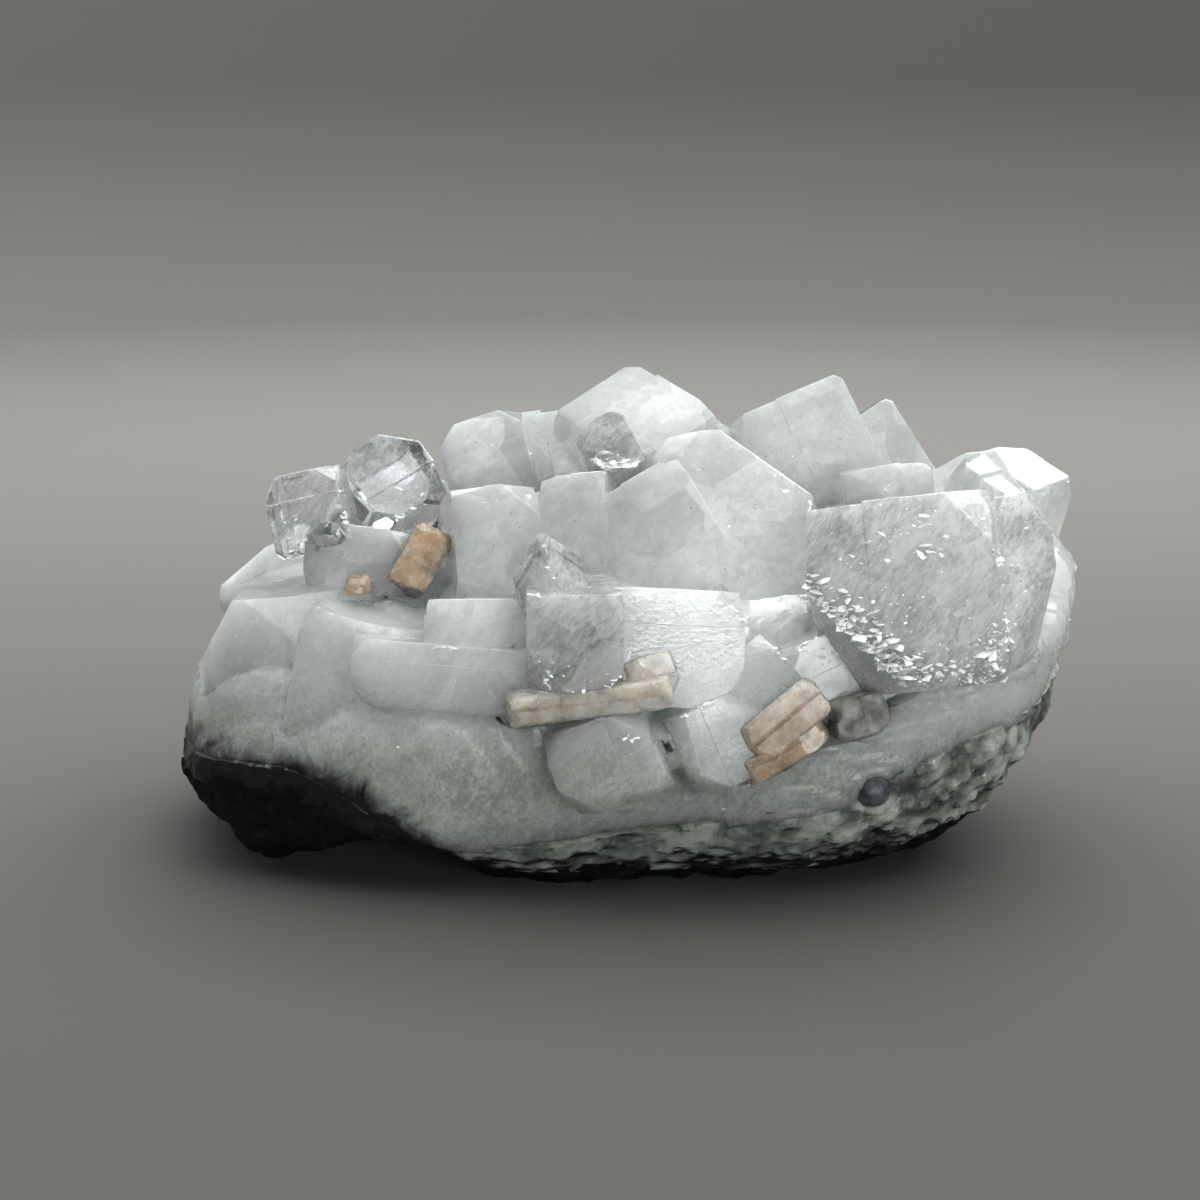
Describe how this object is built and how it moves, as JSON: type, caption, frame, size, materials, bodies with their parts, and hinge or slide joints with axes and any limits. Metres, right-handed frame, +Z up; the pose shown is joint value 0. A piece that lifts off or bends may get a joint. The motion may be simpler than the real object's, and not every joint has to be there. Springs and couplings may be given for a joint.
{
  "type": "apophyllite cluster",
  "caption": "Cluster of milky and clear blocky apophyllite crystals with peach stilbite, on a chalcedony crust and a dark basalt base.",
  "frame": {"origin": "centre of the bounding box in X and Y, on the ground plane that the base rests on", "axes": "+X along the length towards the end with the large clear crystals, -Y towards the viewer of the displayed face, +Z up"},
  "size_m": [0.0908, 0.0642, 0.0462],
  "materials": {
    "basalt": "rough matte",
    "chalcedony": "rough, slightly waxy",
    "milky_apophyllite": "translucent, satin to glossy",
    "clear_apophyllite": "clear, glossy",
    "stilbite": "translucent, pearly",
    "smoky_crystal": "translucent, glossy",
    "grey_nodule": "satin"
  },
  "bodies": {
    "root": {"basalt_matrix": "basalt", "chalcedony_crust": "chalcedony", "milky_apophyllite": "milky_apophyllite", "clear_crystals_left": "clear_apophyllite", "clear_crystal_top": "clear_apophyllite", "clear_crystals_front": "clear_apophyllite", "clear_crystals_right": "clear_apophyllite", "stilbite_left": "stilbite", "stilbite_chip": "stilbite", "stilbite_middle": "stilbite", "stilbite_right": "stilbite", "smoky_crystal": "smoky_crystal", "grey_nodule": "grey_nodule"}
  },
  "joints": []
}
